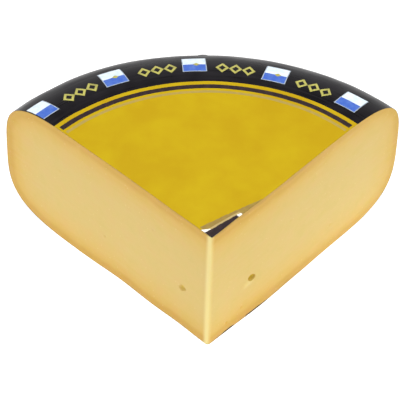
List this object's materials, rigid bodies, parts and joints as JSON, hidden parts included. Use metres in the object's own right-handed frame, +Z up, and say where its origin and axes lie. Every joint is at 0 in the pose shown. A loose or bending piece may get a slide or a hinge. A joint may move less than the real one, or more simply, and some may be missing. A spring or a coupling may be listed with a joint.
{
  "type": "aged gouda quarter wheel",
  "caption": "Quarter of a round aged cheese wheel with a bulged side, in a thin black coat with a printed rim and a yellow round label, cut to show firm pale yellow paste.",
  "frame": {"origin": "under the middle of the piece's box, on the surface that it rests on", "axes": "+X along the chord between the two outer corners, to the right seen from the cut edge; +Y from the cut edge to the middle of the round side; +Z up along the wheel's axis"},
  "size_m": [0.2474, 0.1742, 0.0986],
  "materials": {
    "paste": "firm cut cheese paste, pale yellow, deeper golden towards the rind",
    "coat": "black cheese coating, satin, brushed on in thin layers",
    "label": "printed paper, yellow with khaki and dark rings, a white middle and a dark bar"
  },
  "bodies": {
    "root": {"paste": "paste", "coat": "coat", "label": "label"}
  },
  "joints": []
}
